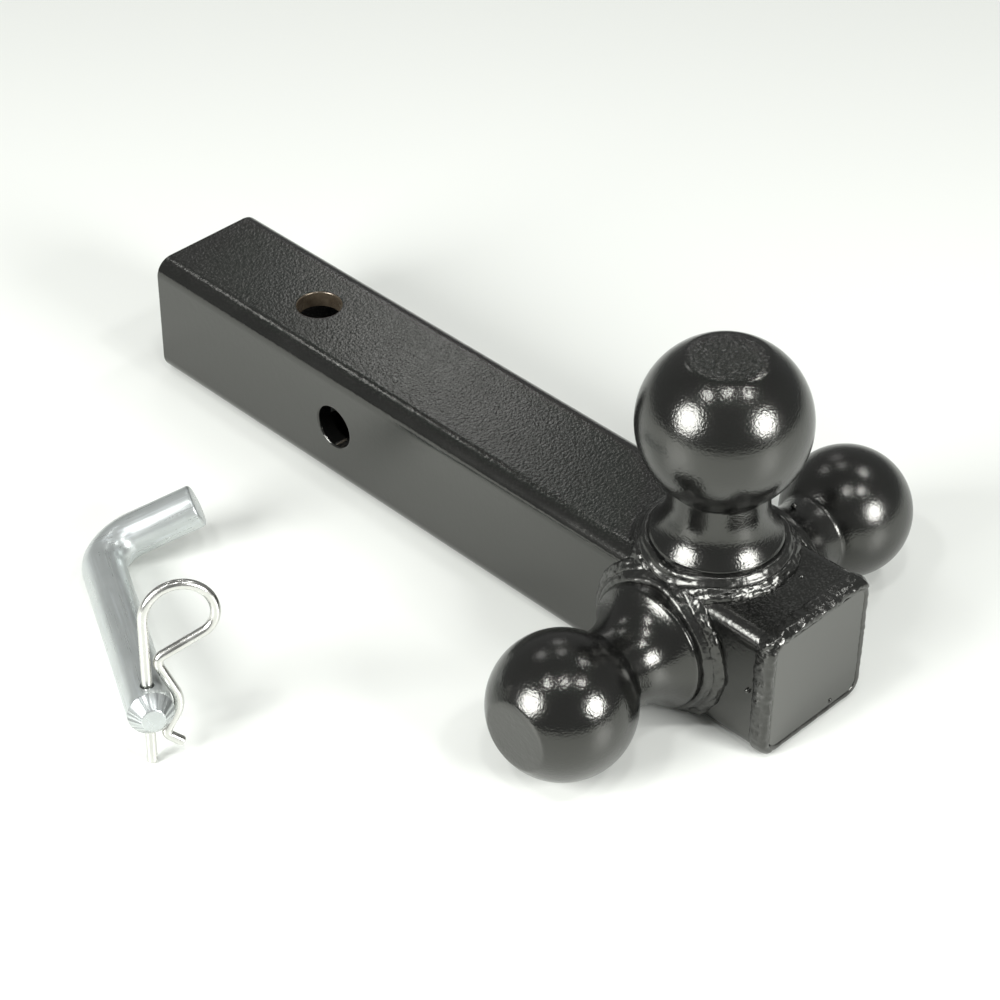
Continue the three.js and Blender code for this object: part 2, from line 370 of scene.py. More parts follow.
def colour_over(tree, shader, factor, colour):
    """Covers the shader's colour with another one, by that factor."""
    under = shader.inputs["Base Color"].links[0].from_socket
    tree.links.new(mixed(tree, factor, under, colour), shader.inputs["Base Color"])


def above(tree, height, soft=2.5):
    """0 below that height in millimetres, 1 from soft over it."""
    up = coordinate(tree, object_place(tree), "Z")
    return ramp(tree, up, height * MM, (height + soft) * MM)


def near_line(tree, centre, skip, radius, soft):
    """1 within radius of a line through centre along the axis numbered skip, 0 outside."""
    keep = tuple(0.0 if axis == skip else 1.0 for axis in range(3))
    flat = vector_maths(tree, "MULTIPLY", object_place(tree), keep)
    aim = tuple(c * k * MM for c, k in zip(centre, keep))
    reach = vector_maths(tree, "DISTANCE", flat, aim)
    return ramp(tree, reach, radius * MM, (radius + soft) * MM, 1.0, 0.0)


def powder_coat(
    name, grain, peel=0.03, grain_scale=1400, roughness=(0.14, 0.20), fleck_wear_and_glint=0.0, top=None, ior=PAINT_IOR
):
    """Black powder coat: faint orange peel, a fine grain, and paler flecks where it sparkles.

    peel and grain are depths in millimetres. With top, the grain is four times deeper above that
    height, where powder settled, and the pale flecks, which are painted glints, show only there.
    """
    material, tree, shader = new_material(name)
    where = place(tree)
    wide = noise_of(tree, where, 500, 1.5)
    fine = noise_of(tree, where, grain_scale, 2.0)
    patches = noise_of(tree, where, 45, 3.0)
    ground = mixed(tree, patches, (0.0030, 0.0031, 0.0030), (0.0062, 0.0063, 0.0058))
    # the pale flecks are painted glints: bright dots put into the colour where the coat sparkles under the
    # lamps, kept to the top face when top is given
    if fleck_wear_and_glint:
        painted_glint = ramp(tree, noise_of(tree, where, 1700, 0.5), 0.50, 0.72)
        if top is not None:
            painted_glint = maths(tree, "MULTIPLY", painted_glint, above(tree, top))
        ground = mixed(tree, painted_glint, ground, warm_grey(fleck_wear_and_glint))
    tree.links.new(ground, shader.inputs["Base Color"])
    tree.links.new(ramp(tree, patches, 0.3, 0.7, *roughness), shader.inputs["Roughness"])
    shader.inputs["IOR"].default_value = ior
    shader.inputs["Specular Tint"].default_value = (1.0, 1.0, 0.94, 1.0)
    if top is not None:
        depth = ramp(tree, above(tree, top), 0.0, 1.0, 0.25, 1.0)
        fine = maths(tree, "MULTIPLY", fine, depth)
    orange_peel = bump(tree, wide, peel * MM)
    tree.links.new(bump(tree, fine, grain * MM, orange_peel), shader.inputs["Normal"])
    return material


def show_bare_bore(material):
    """Thin, brownish paint over bare steel on the walls of the shank's upright pin hole."""
    tree = material.node_tree
    shader = tree.nodes["Principled BSDF"]
    inside = near_line(tree, (UPRIGHT_BORE_X, 0, 0), 2, BORE_RADIUS + 0.1, 0.4)
    cloud = noise_of(tree, place(tree), 300, 3.0)
    steel = mixed(tree, cloud, (0.05, 0.035, 0.020), (0.22, 0.18, 0.13))
    colour_over(tree, shader, inside, steel)
    tree.links.new(maths(tree, "MULTIPLY", inside, 0.6), shader.inputs["Metallic"])


def roughen_flat(material, centre, radius, pit_depth, fleck_wear_and_glint):
    """Pitted texture where the surface lies inside a ball's full sphere, on its flat."""
    tree = material.node_tree
    shader = tree.nodes["Principled BSDF"]
    reach = vector_maths(tree, "DISTANCE", object_place(tree), tuple(c * MM for c in centre))
    inside = ramp(tree, reach, (radius - 0.8) * MM, (radius - 0.15) * MM, 1.0, 0.0)
    worn = ramp(tree, noise_of(tree, place(tree), 1000, 1.0), 0.50, 0.70)
    colour_over(tree, shader, maths(tree, "MULTIPLY", worn, inside), warm_grey(fleck_wear_and_glint))
    pits = maths(tree, "MULTIPLY", noise_of(tree, place(tree), 520, 3.0, 0.65), inside)
    under = shader.inputs["Normal"].links[0].from_socket
    tree.links.new(bump(tree, pits, pit_depth * MM, under), shader.inputs["Normal"])


# ------------------------------------------------------------------ shank

def bore_cutter(name):
    """A cutter along +Z for one pair of cross holes, with rounded mouths at the outer faces."""
    beyond = HALF + 3
    mouth = arc(BORE_RADIUS + BORE_ROUND, HALF - BORE_ROUND, BORE_ROUND, 180, 95, 6)
    upper = np.vstack([mouth, [[mouth[-1, 0], beyond]]])
    lower = upper[::-1] * (1, -1)
    return turned(name, np.vstack([lower, upper]), 96)


def shank():
    """The square tube as one skin: back along the outside, round the rear end, forward inside."""
    rear, front = TUBE_LOW[0], TUBE_HIGH[0]
    stations = [(front, 0.0), (rear + REAR_ROUND, 0.0)]
    stations += [(rear + setback, inset) for setback, inset in edge_round(REAR_ROUND, (30, 60, 90))]
    inner_half = HALF - WALL
    loops = [square_loop(x, HALF - inset, OUTER_CORNER - inset) for x, inset in stations]
    loops += [square_loop(x, inner_half + inset, INNER_CORNER + inset) for x, inset in reversed(stations)]
    points, faces = skin(loops, close_path=True)
    tube = mesh_object("shank", points, faces)
    fix_normals(tube)
    upright = bore_cutter("upright cutter")
    upright.data.transform(Matrix.Translation((UPRIGHT_BORE_X * MM, 0, HALF * MM)))
    cut(tube, upright)
    level = bore_cutter("level cutter")
    level.data.transform(Matrix.Rotation(math.pi / 2, 4, "X"))
    level.data.transform(Matrix.Translation((LEVEL_BORE_X * MM, 0, HALF * MM)))
    cut(tube, level)
    smooth(tube, 32)
    weight_normals(tube)
    return tube


def cap():
    face, back = CAP_HIGH[0], CAP_LOW[0]
    half = (CAP_HIGH[2] - CAP_LOW[2]) / 2
    stations = [(back, 0.0), (face - CAP_ROUND, 0.0)]
    rounded = edge_round(CAP_ROUND, (20, 40, 60, 80, 90))
    stations += [(face - setback, inset) for setback, inset in rounded]
    loops = [square_loop(x, half - inset, CAP_CORNER - inset) for x, inset in stations]
    points, faces = skin(loops)
    plate = mesh_object("cap", points, faces)
    fix_normals(plate)
    smooth(plate, 40)
    weight_normals(plate)
    return plate


# ------------------------------------------------------------------ balls

def ball_profile(ball, neck, flat):
    """(radius, height) pairs from the foot, sunk into the tube, up to the edge of the flat."""
    radius, throat = ball / 2, neck / 2
    centre = BALL_RISE + radius
    fillet = throat + THROAT_ROUND
    waist = centre - math.sqrt((radius + THROAT_ROUND) ** 2 - fillet**2)
    touch = math.degrees(math.atan2(waist - centre, fillet))
    foot_radius, foot_sunk = LIP_RADIUS - 0.2, 1.0
    lip_round, lip_tuck = 1.0, 0.35
    flare_centre = throat + FLARE_RADIUS
    rise = math.sqrt(FLARE_RADIUS**2 - (flare_centre - LIP_RADIUS + lip_tuck) ** 2)
    flare_from = 180 + math.degrees(math.asin(rise / FLARE_RADIUS))
    flat_edge = math.degrees(math.acos(flat / ball))
    flat_height = centre + radius * math.sin(math.radians(flat_edge))
    degrees_short, edge_inset = 1.4, 0.5  # where the sphere ends and the flat begins
    sphere = arc(0, centre, radius, touch, flat_edge - degrees_short, 70)
    return np.vstack([
        [[foot_radius, -foot_sunk], [foot_radius, foot_sunk]],
        arc(LIP_RADIUS - lip_round, LIP_HEIGHT - lip_round, lip_round, 0, 40, 6),
        arc(flare_centre, LIP_HEIGHT + rise, FLARE_RADIUS, flare_from, 180, 30),
        arc(fillet, waist, THROAT_ROUND, 180, 180 + touch, 10),
        sphere[1:],
        [[flat / 2 - 0.15, flat_height - 0.06], [flat / 2 - edge_inset, flat_height]],
        [[flat / 2 - 3.0, flat_height], [flat / 6, flat_height]],
    ])


def ball(name, ball, neck, flat, turn):
    """A ball with its neck and foot, turned about the tube's axis from the top face."""
    obj = turned(f"{name}_tow_ball", ball_profile(ball, neck, flat), 160)
    obj.data.transform(Matrix.Translation((0, 0, HALF * MM)))
    obj.data.transform(Matrix.Rotation(math.radians(turn), 4, "X"))
    obj.data.transform(Matrix.Translation((0, 0, HALF * MM)))
    fix_normals(obj)
    smooth(obj, 40)
    return obj


# ------------------------------------------------------------------ weld beads

def unit_blob(rings=8, sides=14):
    """A ball of radius 1 with cut-off poles, which the weld beads are built from."""
    angle = np.arange(sides) * TAU / sides
    loops = []
    for i in range(1, rings):
        t = math.pi * i / rings
        ring = np.c_[np.cos(angle), np.sin(angle)] * math.sin(t)
        loops.append(np.c_[ring, np.full(sides, math.cos(t))])
    return skin(loops)


BLOB_POINTS, BLOB_FACES = unit_blob()

# drops of weld metal, as (place, radius), by the ball or the cap edge they are part of
SPATTER = {
    "medium": (((38.6, -25.6, 26.4), 1.2),),
    "small": (((-2.5, 44.6, 41.2), 1.3), ((16.0, 25.6, 47.2), 1.2)),
    "large": (((-16.0, -19.5, 53.2), 1.1), ((31.0, 8.0, 50.9), 0.9)),
    "top": (((44.2, -23.4, 48.6), 2.0),),
    "left": (((43.4, -25.0, 24.6), 1.9), ((43.0, -24.9, 27.2), 1.7)),
    "bottom": (((46.8, 9.1, 5.2), 1.0),),
}
# the cap's beads: the turn to their edge, how lumpy they are, and how far they are sunk
CAP_BEADS = {
    "top": {"turn": 0, "coarse": 0.85, "sunk": 0.0},
    "left": {"turn": 90, "coarse": 0.65, "sunk": 0.0},
    "bottom": {"turn": 180, "coarse": 0.15, "sunk": 0.8},
    "right": {"turn": 270, "coarse": 0.3, "sunk": 0.9},
}
CAP_BEAD_INSET = 1.5
CAP_BEAD_FORWARD = 1.3
CAP_BLOB = np.array([4.4, 4.2, 2.3])  # along the edge, along the shank, outward

# the rings of blobs in each pass round a ball: radius, height over the face, share of SIDE_SINK,
# length along the ring, thickness, spacing, jitter, and wobble of the radius
ROOT_RINGS = (
    (23.5, 4.5, 1.0, 3.2, 1.9, 1.4, 0.04, 0.0),
    (24.7, 2.9, 1.0, 3.2, 1.9, 1.4, 0.06, 0.0),
)
COVER_RINGS = (
    (25.9, 1.7, 0.5, 3.6, 2.0, 1.7, 0.14, 0.1),
    (27.3, 0.3, 0.0, 4.2, 1.8, 1.9, 0.22, 0.35),
)
SIDE_SINK = 0.9
VOXEL = 0.4
BALL_WELD_SEED = 11
CAP_BEAD_SEED = 31


def blobs_mesh(name, blobs, passes):
    """One lumpy skin round many ellipsoids, each (centre, three axes with their lengths)."""
    points, faces = [], []
    for centre, axes in blobs:
        base = sum(len(p) for p in points)
        points.append(np.asarray(centre) + BLOB_POINTS @ np.asarray(axes, float))
        faces += [tuple(i + base for i in face) for face in BLOB_FACES]
    obj = mesh_object(name, np.vstack(points), faces)
    fix_normals(obj)
    remesh = obj.modifiers.new("skin", "REMESH")
    remesh.mode = "VOXEL"
    remesh.voxel_size = VOXEL * MM
    relax = obj.modifiers.new("relax", "SMOOTH")
    relax.factor = 0.5
    relax.iterations = passes
    bake_modifiers(obj)
    smooth(obj, 180)
    return obj


def drops(part):
    """The spatter on a ball's weld or a cap bead, as round blobs."""
    return [(spot, np.eye(3) * size) for spot, size in SPATTER.get(part, ())]


def round_ball(points, turn):
    """Places where noise runs in streaks round a ball's axis, three times longer than wide."""
    local = (points - (0, 0, HALF)) @ about_x(turn)
    reach = np.hypot(local[:, 0], local[:, 1])
    stretched = local[:, :2] / reach[:, None] * 9.0
    return np.c_[stretched, reach + 1.4 * local[:, 2]]


def roughen(obj, size, height, seed, turn=None):
    """Moves the points along their normals by smooth noise with features of that size, in mm.

    With turn, the noise is streaked round the axis of the ball on that face. Nothing goes below
    the shank's underside, where the welds are ground level.
    """
    mesh = obj.data
    count = len(mesh.vertices)
    points, normals = np.empty(count * 3), np.empty(count * 3)
    mesh.vertices.foreach_get("co", points)
    mesh.vertices.foreach_get("normal", normals)
    shift = Vector((seed, seed * 0.7, -seed))
    lift = []
    places = points.reshape(-1, 3) / MM
    if turn is not None:
        places = round_ball(places, turn)
    for point in places / size:
        where = Vector(point) + shift
        lift.append(noise.noise(where) + 0.5 * noise.noise(where * 2.1))
    points += normals * np.repeat(lift, 3) * height * MM
    points[2::3] = np.maximum(points[2::3], 0.1 * MM)
    mesh.vertices.foreach_set("co", points)
    mesh.update()


def frame_at(tangent, normal):
    """Three unit rows: along the bead, across it, and away from the metal below."""
    return np.array([tangent, np.cross(normal, tangent), normal])


def ring_blobs(rng, side_sink, radius, height, sink_share, along, size, spacing, jitter, wobble):
    """Blobs round +Z on the ball's face plane, drooping over the tube's rounded corners."""
    height = height - side_sink * sink_share
    count = round(TAU * radius / spacing)
    phase = rng.uniform(0, TAU)
    out = []
    for i in range(count):
        angle = TAU * i / count
        r = radius + wobble * math.sin(2 * angle + phase) + rng.normal(0, jitter)
        x, y = r * math.cos(angle), r * math.sin(angle)
        over = min(max(0.0, abs(y) - (HALF - OUTER_CORNER)), OUTER_CORNER)
        droop = OUTER_CORNER - math.sqrt(OUTER_CORNER**2 - over**2)
        tangent = np.array([-math.sin(angle), math.cos(angle), 0.0])
        outward = np.array([math.cos(angle), math.sin(angle), 0.0])
        swell = 1 + rng.normal(0, 0.4 * jitter)
        axes = np.array([tangent * along, outward * size * swell, [0.0, 0.0, size * swell]])
        centre = (x, y, height - droop * 0.8 + rng.normal(0, jitter))
        out.append((centre, axes))
    return out


def pass_blobs(rng, rings, turn):
    """One weld pass round a ball, a little lower on the side balls."""
    side_sink = SIDE_SINK if turn else 0.0
    blobs = []
    for ring in rings:
        blobs += ring_blobs(rng, side_sink, *ring)
    return turned_blobs(blobs, turn)


def bridge_blobs(rng, side):
    """Filler along the tube's corner, where a side ball's weld meets the top ball's."""
    half_length, spacing, inset, scatter = 15, 2.2, 2.6, 0.25
    out = []
    for x in np.arange(-half_length, half_length + 0.1, spacing):
        drop = 0.03 * abs(x)
        y = HALF - inset - drop + rng.normal(0, scatter)
        z = HALF - inset - drop + rng.normal(0, scatter)
        size = 3.3 + rng.normal(0, scatter)
        out.append(((x, side * y, z), np.diag([3.2, size, size])))
    return out


def turned_blobs(blobs, turn):
    """The blobs moved from the top face's plane to the face that turn points to."""
    spin = about_x(turn)
    lift = np.array([0, 0, HALF])
    return [(spin @ (np.asarray(c) + lift) + lift, np.asarray(a) @ spin.T) for c, a in blobs]


def ball_welds(name, turn, seed):
    """A smooth root pass tight under the rim, and a rougher cover pass down to the tube."""
    rng = np.random.default_rng(seed)
    inner = pass_blobs(rng, ROOT_RINGS, turn)
    outer = pass_blobs(rng, COVER_RINGS, turn)
    if turn == 0:
        bridges = bridge_blobs(rng, -1) + bridge_blobs(rng, 1)
        outer += [(np.asarray(centre) + (0, 0, HALF), axes) for centre, axes in bridges]
    outer += drops(name)
    root = blobs_mesh(f"{name}_root_bead", inner, 12)
    cover = blobs_mesh(f"{name}_cover_bead", outer, 8)
    roughen(root, size=3.0, height=0.22, seed=seed, turn=turn)
    roughen(root, size=3.5, height=0.10, seed=seed + 2)
    coarse = 1.0 if turn == 0 else 0.65
    roughen(cover, size=1.7, height=0.34 * coarse, seed=seed + 3, turn=turn)
    roughen(cover, size=3.2, height=0.22 * coarse, seed=seed + 4)
    roughen(cover, size=1.1, height=0.09, seed=seed + 5)
    return root, cover


def cap_bead(side, turn, coarse, sunk, seed):
    """The bead along one edge of the cap, drawn along the top edge and then turned about +X."""
    rng = np.random.default_rng(seed)
    reach = HALF - OUTER_CORNER
    corner = OUTER_CORNER - CAP_BEAD_INSET
    level = HALF - CAP_BEAD_INSET
    path = joined(
        arc(-reach, reach, corner, 134, 90, 5),
        run((-reach, level), (reach, level), 1.2),
        arc(reach, reach, corner, 90, 46, 5),
    )
    spin = about_x(turn)
    blobs = []
    for (y, z), (ty, tz) in zip(path, tangents(path)):
        along = np.array([0.0, ty, tz])
        out = np.array([0.0, -tz, ty])
        size = CAP_BLOB * (1 + rng.normal(0, 0.04 * coarse, 3))
        axes = frame_at(along, out) * size[:, None]
        forward = CAP_BEAD_FORWARD + rng.normal(0, 0.18 * coarse)
        proud = rng.normal(0, 0.14 * coarse) - sunk
        centre = np.array([TUBE_HIGH[0] + forward, y, z]) + out * proud
        blobs.append((spin @ centre + (0, 0, HALF), axes @ spin.T))
    obj = blobs_mesh(f"cap_bead_{side}", blobs + drops(side), 8)
    roughen(obj, size=3.4, height=0.40 * coarse, seed=seed)
    roughen(obj, size=1.5, height=0.10 * coarse, seed=seed + 5)
    return obj


# ------------------------------------------------------------------ pin and clip

def pin_matrix():
    turn = (
        Matrix.Rotation(math.radians(PIN_YAW), 4, "Z")
        @ Matrix.Rotation(math.radians(-PIN_PITCH), 4, "Y")
        @ Matrix.Rotation(math.radians(PIN_ROLL), 4, "X")
    )
    return Matrix.Translation(Vector(PIN_CORNER) * MM) @ turn


def pin_path():
    """The pin's centre line in its own plane, and its radius at each point."""
    angle = math.radians(ARM_ANGLE)
    setback = BEND_RADIUS / math.tan(angle / 2)
    short = np.array([math.cos(angle), math.sin(angle)])
    rounded = edge_round(1.2, (90, 70, 50, 30, 15, 0))
    start = np.array([short * (SHORT_ARM - back) for back, _ in rounded])
    bend = arc(setback, BEND_RADIUS, BEND_RADIUS, 90 + ARM_ANGLE, 270, 26)
    shaft = joined(
        start,
        run(start[-1], bend[0], 3.0),
        bend,
        run(bend[-1], (LONG_ARM - 0.25, 0), 3.0),
    )
    radius = np.full(len(shaft), PIN_RADIUS)
    radius[:len(rounded)] = [PIN_RADIUS - inset for _, inset in rounded]
    slope = (PIN_RADIUS - CONE_FLAT / 2) / CONE_LENGTH
    cone = [
        (LONG_ARM, PIN_RADIUS - 0.08),
        (LONG_ARM + 0.3, PIN_RADIUS - 0.3 * slope - 0.02),
        (LONG_ARM + CONE_LENGTH - 0.2, CONE_FLAT / 2 + 0.2 * slope),
        (LONG_ARM + CONE_LENGTH - 0.04, CONE_FLAT / 2 - 0.02),
        (LONG_ARM + CONE_LENGTH, CONE_FLAT / 2 - 0.2),
    ]
    path = np.vstack([shaft, [[x, 0.0] for x, _ in cone]])
    return path, np.concatenate([radius, [r for _, r in cone]])


def clip_drill():
    """The cutter for the clip's cross hole, with rounded mouths."""
    round_edge = 0.3
    mouth = arc(CLIP_HOLE / 2 + round_edge, PIN_RADIUS - 0.2 - round_edge, round_edge, 180, 95, 4)
    upper = np.vstack([mouth, [[mouth[-1, 0], PIN_RADIUS + 2]]])
    drill = turned("drill", np.vstack([upper[::-1] * (1, -1), upper]), 40)
    drill.data.transform(Matrix.Translation((CLIP_HOLE_X * MM, 0, 0)))
    return drill


def hitch_pin():
    path, radius = pin_path()
    flat = np.c_[path[:, 0], path[:, 1], np.zeros(len(path))]
    points, faces = skin(swept(flat, radius, 64, (0.0, 0.0, 1.0)))
    pin = mesh_object("bent_pin", points, faces)
    fix_normals(pin)
    pin.data.transform(Matrix.Rotation(math.radians(BEND_TWIST), 4, "X"))
    cut(pin, clip_drill())
    smooth(pin, 30)
    pin.matrix_world = pin_matrix()
    return pin


def wire_end(points):
    """Rounds the wire's first point: the new points, and their radii, from the tip inward."""
    inward = points[1] - points[0]
    inward /= np.linalg.norm(inward)
    rounded = edge_round(WIRE_ROUND, (90, 65, 45, 25, 10))
    tip = [points[0] + inward * setback for setback, _ in rounded]
    radii = [WIRE_RADIUS - inset for _, inset in rounded] + [WIRE_RADIUS] * len(points)
    return np.vstack([tip, points[:1] + inward * WIRE_ROUND, points[1:]]), np.array(radii)


def wire(name, path, start_round=False, end_round=False):
    """A length of the clip's wire along a path of (sideways, up) pairs in its own plane."""
    points = np.c_[np.full(len(path), CLIP_HOLE_X), np.asarray(path, float)]
    radii = np.full(len(path), WIRE_RADIUS)
    if start_round:
        points, radii = wire_end(points)
    elif end_round:
        points, radii = (made[::-1] for made in wire_end(points[::-1]))
    points, faces = skin(swept(points, radii, 24))
    obj = mesh_object(name, points, faces)
    fix_normals(obj)
    smooth(obj, 40)
    obj.matrix_world = pin_matrix()
    return obj


def tangent_angle(radius_a, centre, radius_b, side):
    """Angle round the origin where a straight run leaves a circle there for one at centre."""
    towards = math.degrees(math.atan2(centre[1], centre[0]))
    reach = math.hypot(*centre)
    return towards + side * math.degrees(math.acos((radius_a + radius_b) / reach))


def spring_clip():
    """The clip's straight leg, its round loop, and its wavy leg, which hugs the pin."""
    hug = PIN_RADIUS + WIRE_RADIUS + 0.35
    waist, waist_radius = (7.1, 15.6), 3.0
    heel, heel_radius = (7.7, -11.3), 2.2
    tight_radius, tight_from, tight_to = 8.5, 7.7, -64
    toe_angle, toe_length = -36.9, 5.5
    inset = LOOP_RADIUS - tight_radius
    turn = math.radians(tight_from)
    tight = (LOOP_RADIUS + inset * math.cos(turn), LOOP_HEIGHT + inset * math.sin(turn))
    hug_from = tangent_angle(hug, waist, waist_radius, -1)
    hug_to = tangent_angle(hug, heel, heel_radius, 1)
    toe = np.array([math.cos(math.radians(toe_angle)), math.sin(math.radians(toe_angle))])
    around_heel = arc(*heel, heel_radius, hug_to + 180, toe_angle + 270, 10)
    around_waist = arc(*waist, waist_radius, tight_to + 180, hug_from + 180, 12)
    tight_bend = arc(*tight, tight_radius, tight_from, tight_to, 10)
    around_pin = arc(0, 0, hug, hug_from, hug_to, 14)
    leg = run((0, CLIP_FOOT), (0, LOOP_HEIGHT), 2.5)
    loop = arc(LOOP_RADIUS, LOOP_HEIGHT, LOOP_RADIUS, 180, tight_from, 60)
    wave = joined(
        tight_bend,
        run(tight_bend[-1], around_waist[0], 1.5),
        around_waist,
        run(around_waist[-1], around_pin[0], 1.5),
        around_pin,
        run(around_pin[-1], around_heel[0], 1.0),
        around_heel,
        run(around_heel[-1], around_heel[-1] + toe * toe_length, 1.0),
    )
    return (
        wire("clip_leg", leg, start_round=True),
        wire("clip_loop", loop),
        wire("clip_wave", wave, end_round=True),
    )


def drawn_lines(tree, where, past_bend):
    """Drawing lines along the short arm, and past the bend along the long arm."""
    lines_along, lines_across = 35, 800
    twist = (
        Matrix.Rotation(math.radians(BEND_TWIST), 3, "X")
        @ Matrix.Rotation(math.radians(ARM_ANGLE), 3, "Z")
    )
    short_way = add(
        tree, "ShaderNodeMapping",
        {
            "Vector": where,
            "Rotation": twist.to_euler("XYZ"),
            "Scale": (1 / lines_along, 1 / lines_across, 1 / lines_across),
        },
        vector_type="TEXTURE",
    ).outputs[0]
    long_way = place(tree, (lines_along, lines_across, lines_across))
    short_lines = noise_of(tree, short_way, 1.0, 3.0, 0.6)
    long_lines = noise_of(tree, long_way, 1.0, 2.5, 0.6)
    return blend_values(tree, past_bend, short_lines, long_lines)


def radial_spoke_noise(tree, where):
    """Noise that runs outward in spokes from the pin's long axis, which paints dark reflections on the
    cone.
    """
    off_axis = vector_maths(tree, "MULTIPLY", where, (0.0, 1.0, 1.0))
    return noise_of(tree, vector_maths(tree, "NORMALIZE", off_axis), 5.0, 2.0)


def zinc_plate():
    """Bright zinc plate: drawing lines along each arm, cloudy patches, and dark spokes on the cone, a
    painted reflection.
    """
    material, tree, shader = new_material("zinc")
    where = object_place(tree)
    along = coordinate(tree, where, "X")
    cone_end = LONG_ARM + CONE_LENGTH
    past_bend = ramp(tree, along, 9 * MM, 16 * MM)
    tip = ramp(tree, along, (LONG_ARM - 0.1) * MM, (LONG_ARM + 0.1) * MM)
    face = ramp(tree, along, (cone_end - 0.3) * MM, (cone_end - 0.1) * MM)
    on_cone = maths(tree, "SUBTRACT", tip, face)
    clouds = noise_of(tree, place(tree), 90, 4.0, 0.6)
    drawn = drawn_lines(tree, where, past_bend)
    spoke_noise = radial_spoke_noise(tree, where)
    lines = blend_values(tree, on_cone, blend_values(tree, tip, drawn, clouds), spoke_noise)

    pale = mixed(tree, clouds, (0.43, 0.46, 0.45), (0.58, 0.61, 0.60))
    streaks = ramp(tree, drawn, 0.52, 0.66, 0.0, 0.55)
    calmer = ramp(tree, past_bend, 0.0, 1.0, 0.8, 0.35)
    plated = mixed(tree, maths(tree, "MULTIPLY", streaks, calmer), pale, (0.74, 0.79, 0.83))
    # dark spokes painted into the cone's colour: painted reflections, not the zinc's own tone
    painted_reflection_spokes = maths(tree, "MULTIPLY", ramp(tree, spoke_noise, 0.46, 0.60, 0.0, 0.8), on_cone)
    tree.links.new(mixed(tree, painted_reflection_spokes, plated, (0.16, 0.17, 0.17)), shader.inputs["Base Color"])

    satin = ramp(tree, lines, 0.3, 0.7, 0.24, 0.40)
    turned_end = ramp(tree, lines, 0.3, 0.7, 0.20, 0.34)
    tree.links.new(blend_values(tree, tip, satin, turned_end), shader.inputs["Roughness"])
    shader.inputs["Metallic"].default_value = 0.68

    relief = maths(tree, "MULTIPLY", lines, ramp(tree, on_cone, 0.0, 1.0, 1.0, 7.0))
    lined = bump(tree, relief, 0.014 * MM)
    grain = noise_of(tree, place(tree), 1300, 1.0)
    tree.links.new(bump(tree, grain, 0.014 * MM, lined), shader.inputs["Normal"])
    return material


def bright_wire():
    """Bright drawn wire with faint lengthwise wear."""
    material, tree, shader = new_material("bright wire")
    clouds = noise_of(tree, place(tree), 160, 3.0)
    grain = noise_of(tree, place(tree), 1200, 2.0)
    tree.links.new(mixed(tree, clouds, (0.58, 0.58, 0.55), (0.72, 0.72, 0.69)), shader.inputs["Base Color"])
    shader.inputs["Metallic"].default_value = 1.0
    tree.links.new(ramp(tree, clouds, 0.3, 0.7, 0.18, 0.30), shader.inputs["Roughness"])
    tree.links.new(bump(tree, grain, 0.006 * MM), shader.inputs["Normal"])
    return material


# ------------------------------------------------------------------ build

def put(obj, body, nodes, material):
    """Gives a piece its material and body, and hides the CAD nodes that it replaces."""
    obj.data.materials.clear()
    obj.data.materials.append(material)
    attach(obj, body)
    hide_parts(*nodes)


# the roughness of each ball's paint, and the pits and flecks on its flat
BALL_LOOKS = {
    "large": {"roughness": (0.14, 0.20), "pit_depth": 0.50, "fleck_wear_and_glint": 0.036},
    "medium": {"roughness": (0.14, 0.20), "pit_depth": 0.12, "fleck_wear_and_glint": 0.012},
    "small": {"roughness": (0.19, 0.26), "pit_depth": 0.12, "fleck_wear_and_glint": 0.012},
}


def ball_paint(name):
    """A ball's powder coat, rougher on the ball's flat."""
    looks, sizes = BALL_LOOKS[name], BALLS[name]
    paint = powder_coat(
        f"powder coat on {name} ball", grain=0.08, grain_scale=1300, roughness=looks["roughness"]
    )
    rise = HALF + BALL_RISE + sizes["ball"] / 2
    side = math.radians(sizes["turn"])
    centre = (0, -math.sin(side) * rise, HALF + math.cos(side) * rise)
    roughen_flat(paint, centre, sizes["ball"] / 2, looks["pit_depth"], looks["fleck_wear_and_glint"])
    return paint


coat = powder_coat(
    "powder coat", grain=0.13, grain_scale=1050,
    roughness=(0.12, 0.18), fleck_wear_and_glint=0.026, top=48.3, ior=1.78,
)
show_bare_bore(coat)
cap_coat = powder_coat("powder coat on plate", grain=0.012, peel=0.02, ior=1.93)
bead_coat = powder_coat(
    "powder coat on weld", grain=0.07, peel=0.05, roughness=(0.19, 0.27), fleck_wear_and_glint=0.012
)
zinc = zinc_plate()
bright = bright_wire()

put(shank(), "hitch", ["shank_tube"], coat)
put(cap(), "hitch", ["cap_plate"], cap_coat)
for number, (name, sizes) in enumerate(BALLS.items()):
    put(ball(name, **sizes), "hitch", [f"{name}_ball"], ball_paint(name))
    root, cover = ball_welds(name, sizes["turn"], BALL_WELD_SEED + number)
    put(root, "hitch", [f"{name}_ball_inner_weld"], bead_coat)
    put(cover, "hitch", [f"{name}_ball_outer_weld"], bead_coat)
for number, (side, shape) in enumerate(CAP_BEADS.items()):
    bead = cap_bead(side, seed=CAP_BEAD_SEED + number, **shape)
    put(bead, "hitch", [f"cap_weld_{side}"], bead_coat)
put(hitch_pin(), "pin", ["hitch_pin"], zinc)
leg, loop, wave = spring_clip()
put(leg, "clip", ["clip_straight_leg"], bright)
put(wave, "spring_leg", ["clip_spring_leg"], bright)
loop.data.materials.append(bright)
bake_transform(loop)


# ------------------------------------------------------------------ floor, light and camera

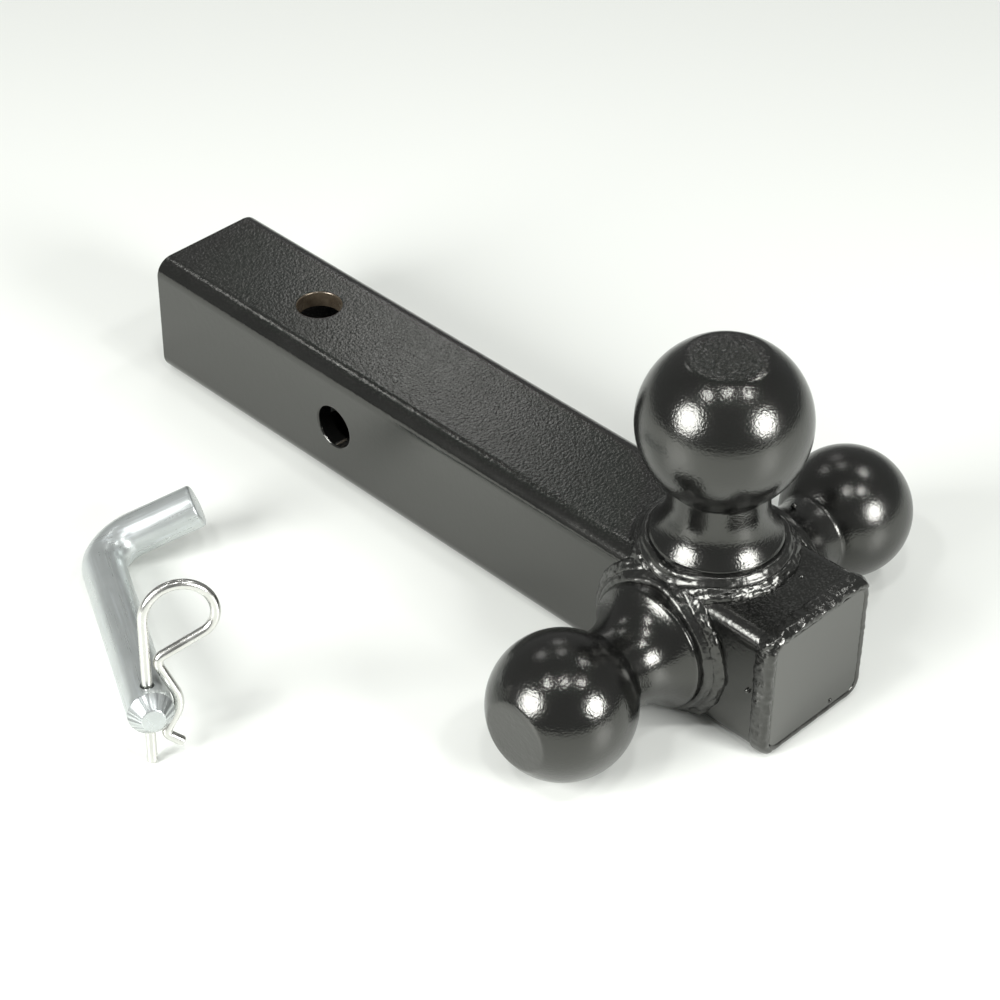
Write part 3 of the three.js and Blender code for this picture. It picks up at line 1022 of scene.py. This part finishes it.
def floor():
    half = FLOOR_HALF
    corners = [(-half, -half, 0), (half, -half, 0), (half, half, 0), (-half, half, 0)]
    obj = mesh_object("floor", corners, [(0, 1, 2, 3)])
    material, _, shader = new_material("floor")
    shader.inputs["Base Color"].default_value = (0.83, 0.85, 0.81, 1)
    shader.inputs["Roughness"].default_value = 0.38
    obj.data.materials.append(material)


def towards(azimuth, elevation):
    """The unit direction from the object at those angles in degrees."""
    a, e = math.radians(azimuth), math.radians(elevation)
    return Vector((math.sin(a) * math.cos(e), -math.cos(a) * math.cos(e), math.sin(e)))


# lights by azimuth and elevation in degrees, width in metres, and strength: the radiance of a
# square light that wide with the same power, so a round one is 4 / pi times brighter
LIGHTS = {
    "softbox left": (-10, 27, 0.70, 13.4),
    "softbox right": (97, 24, 0.55, 16.8),
    "rear glow": (-131, 34, 0.16, 2.4),
}
# the small ceiling lights by azimuth, elevation and strength
CEILING = ((-5, 62, 42), (50, 72, 42), (102, 61, 42), (-97, 48, 8), (-132, 57, 8), (172, 57, 30))
CEILING_WIDTH = 0.12
LIGHT_DISTANCE = 1.3
LIGHT_AIM = Vector((-0.06, 0.0, 0.03))
ROUND_FROM = 0.3

# the camera, fitted to the photograph: place in metres, lens in millimetres, angles in degrees
CAMERA_PLACE = (0.45576, -0.56447, 0.64485)
CAMERA_AZIMUTH, CAMERA_ELEVATION, CAMERA_ROLL = 44.639, 38.579, 0.617
CAMERA_SENSOR, CAMERA_LENS = 36.0, 100.48


def soft_light(name, azimuth, elevation, size, strength):
    """An area light seen from the object at that azimuth and elevation, round when it is large."""
    data = bpy.data.lights.new(name, "AREA")
    data.shape = "DISK" if size > ROUND_FROM else "SQUARE"
    data.size = size
    data.energy = strength * math.pi * size * size
    lamp = bpy.data.objects.new(name, data)
    direction = towards(azimuth, elevation)
    lamp.location = LIGHT_AIM + direction * LIGHT_DISTANCE
    lamp.rotation_mode = "QUATERNION"
    lamp.rotation_quaternion = direction.to_track_quat("Z", "Y")
    bpy.context.scene.collection.objects.link(lamp)


def world():
    made = bpy.data.worlds.new("studio")
    made.use_nodes = True
    background = made.node_tree.nodes["Background"]
    background.inputs["Color"].default_value = (0.98, 1.0, 0.98, 1)
    background.inputs["Strength"].default_value = 0.22
    bpy.context.scene.world = made


def camera():
    data = bpy.data.cameras.new("camera")
    data.sensor_width = CAMERA_SENSOR
    data.lens = CAMERA_LENS
    data.clip_start, data.clip_end = 0.05, 30
    obj = bpy.data.objects.new("camera", data)
    obj.location = CAMERA_PLACE
    obj.rotation_mode = "QUATERNION"
    back = towards(CAMERA_AZIMUTH, CAMERA_ELEVATION)
    roll = Matrix.Rotation(math.radians(CAMERA_ROLL), 3, "Z").to_quaternion()
    obj.rotation_quaternion = back.to_track_quat("Z", "Y") @ roll
    bpy.context.scene.collection.objects.link(obj)
    bpy.context.scene.camera = obj


floor()
world()
for name, light in LIGHTS.items():
    soft_light(name, *light)
for number, (azimuth, elevation, strength) in enumerate(CEILING):
    soft_light(f"ceiling light {number}", azimuth, elevation, CEILING_WIDTH, strength)
camera()
bpy.context.scene.view_settings.view_transform = "Standard"
